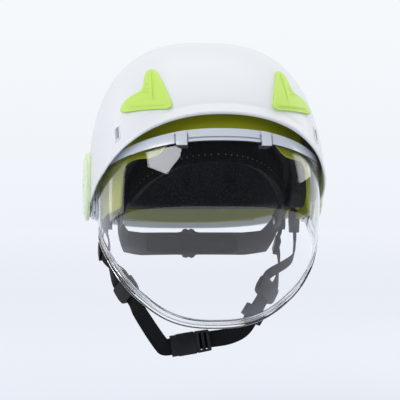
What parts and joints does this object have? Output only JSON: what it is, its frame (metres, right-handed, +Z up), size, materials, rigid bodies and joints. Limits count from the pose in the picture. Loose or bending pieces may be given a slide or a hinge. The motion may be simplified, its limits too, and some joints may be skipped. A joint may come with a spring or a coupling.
{
  "type": "safety helmet",
  "caption": "Rescue safety helmet: vented outer shell, clear visor that swings up between two shells, ratchet headband and a chin strap with a side-release buckle.",
  "frame": {"origin": "middle of the visor's hinge axis, level with the wearer's ears", "axes": "+Z up, the helmet's front faces -Y, +X is the wearer's left; the visor's axis lies along X"},
  "size_m": [0.242, 0.304, 0.3068],
  "materials": {
    "shell_white": "gloss",
    "lime": "satin",
    "lens_clear": "gloss",
    "frame_grey": "gloss",
    "foam_black": "matte",
    "plastic_black": "satin",
    "seal_black": "matte",
    "pad_fabric": "matte",
    "webbing": "matte",
    "steel": "satin"
  },
  "bodies": {
    "shell": {"outer_shell": "shell_white", "inner_shell": "lime", "liner": "foam_black", "shell_spacer": "foam_black", "spacer_screws": "steel", "vent_insert_left": "lime", "vent_insert_right": "lime", "accessory_slot_left": "shell_white", "accessory_slot_right": "shell_white", "pivot_cover_left": "lime", "pivot_cover_right": "lime", "pivot_pin_left": "steel", "pivot_pin_right": "steel", "pivot_screws": "steel", "pivot_washers": "plastic_black", "detent_ring_left": "plastic_black", "detent_ring_right": "plastic_black", "headband": "plastic_black", "band_hangers": "plastic_black", "brow_pad": "pad_fabric", "crown_pad_middle": "pad_fabric", "crown_pad_left": "pad_fabric", "crown_pad_right": "pad_fabric", "cradle_pivots": "steel", "front_anchor_left": "plastic_black", "front_anchor_right": "plastic_black", "rear_anchor_left": "plastic_black", "rear_anchor_right": "plastic_black", "anchor_rivets": "steel", "front_strap_left": "webbing", "front_strap_right": "webbing", "rear_strap_left": "webbing", "rear_strap_right": "webbing", "strap_slider_left": "plastic_black", "strap_slider_right": "plastic_black", "side_adjuster_left": "plastic_black", "side_adjuster_right": "plastic_black", "chin_strap_left": "webbing", "chin_strap_right": "webbing", "chin_slider": "plastic_black", "buckle_socket": "plastic_black"},
    "visor": {"visor_lens": "lens_clear", "visor_frame": "frame_grey", "frame_seal": "seal_black", "visor_clip_left": "frame_grey", "visor_clip_right": "frame_grey", "visor_hub_left": "plastic_black", "visor_hub_right": "plastic_black"},
    "cradle": {"rear_cradle": "plastic_black", "nape_pad": "pad_fabric", "ratchet_case": "plastic_black", "case_screws": "steel"},
    "belt_left": {"size_belt_left": "plastic_black"},
    "belt_right": {"size_belt_right": "plastic_black"},
    "knob": {"ratchet_knob": "plastic_black", "ratchet_pinion": "plastic_black"},
    "plug": {"buckle_plug": "plastic_black"}
  },
  "joints": [
    {"name": "visor_lift", "type": "hinge", "parent": "shell", "child": "visor", "pos_m": [0, 0, 0], "axis": [-1, 0, 0], "range_deg": [0, 80]},
    {"name": "cradle_tilt", "type": "hinge", "parent": "shell", "child": "cradle", "pos_m": [0, 0.028, -0.02], "axis": [1, 0, 0], "range_deg": [-8, 8]},
    {"name": "knob_turn", "type": "hinge", "parent": "cradle", "child": "knob", "pos_m": [0, 0.1, -0.045], "axis": [0, -1, 0], "range_deg": [0, 120]},
    {"name": "belt_left_slide", "type": "hinge", "parent": "cradle", "child": "belt_left", "pos_m": [0, 0.0196, -0.045], "axis": [0, 0, 1], "range_deg": [0, 8]},
    {"name": "belt_right_slide", "type": "hinge", "parent": "cradle", "child": "belt_right", "pos_m": [0, 0.0196, -0.045], "axis": [0, 0, -1], "range_deg": [0, 8]},
    {"name": "buckle_release", "type": "slide", "parent": "shell", "child": "plug", "axis": [0.9877, 0, 0.1564], "range_m": [0, 0.018]}
  ],
  "couplings": [
    {"joint": "belt_left_slide", "follows": "knob_turn", "ratio": 0.0625},
    {"joint": "belt_right_slide", "follows": "knob_turn", "ratio": 0.0625}
  ]
}
